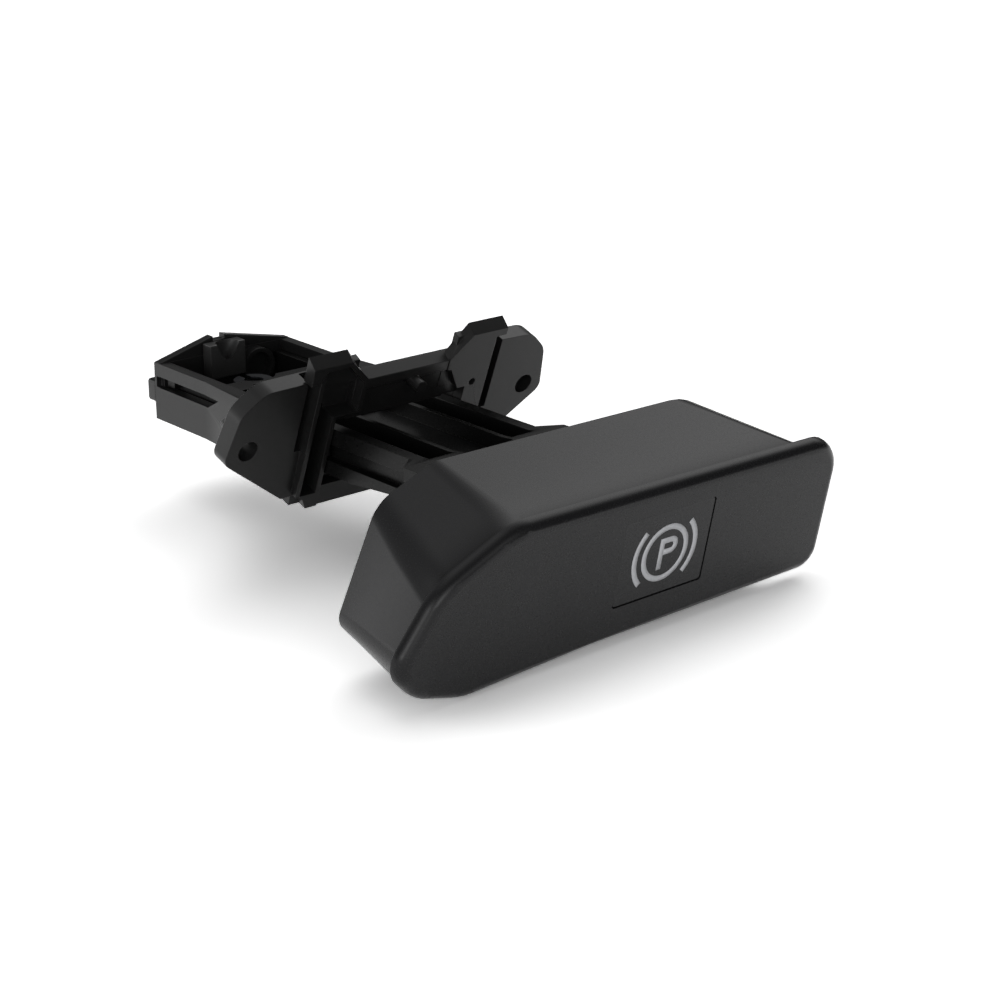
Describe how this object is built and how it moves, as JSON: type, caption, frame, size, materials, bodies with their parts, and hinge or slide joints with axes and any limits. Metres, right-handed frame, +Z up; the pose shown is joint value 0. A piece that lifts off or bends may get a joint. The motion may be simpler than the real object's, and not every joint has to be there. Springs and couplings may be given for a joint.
{
  "type": "parking brake release handle",
  "caption": "Black moulded pull handle with a flush symbol tile, on a spring-returned stem that slides in a two-eared dashboard bracket.",
  "frame": {"origin": "midway between the two ear screw holes, on the front plane of the ears", "axes": "+X to the right as the driver faces the handle, +Y into the dashboard along the slide, +Z up"},
  "size_m": [0.1087, 0.1349, 0.047],
  "materials": {
    "moulded_black": "satin moulded",
    "grip_black": "fine satin grain",
    "tile_black": "smooth satin",
    "spring_steel": "zinc plated",
    "pad_rubber": "matt"
  },
  "bodies": {
    "bracket_side": {"bracket": "moulded_black", "cable_funnel": "moulded_black", "return_spring": "spring_steel", "rest_buffer_left": "pad_rubber", "rest_buffer_right": "pad_rubber"},
    "pull_side": {"slider": "moulded_black", "grip": "grip_black", "symbol_tile": "tile_black", "stem_screw_left": "spring_steel", "stem_screw_right": "spring_steel", "nipple_clip": "spring_steel"}
  },
  "joints": [
    {"name": "handle_pull", "type": "slide", "parent": "bracket_side", "child": "pull_side", "axis": [0, -1, 0], "range_m": [0, 0.0145], "stiffness_N_per_m": 2300, "springref_m": -0.004, "deforming": ["return_spring"]}
  ]
}
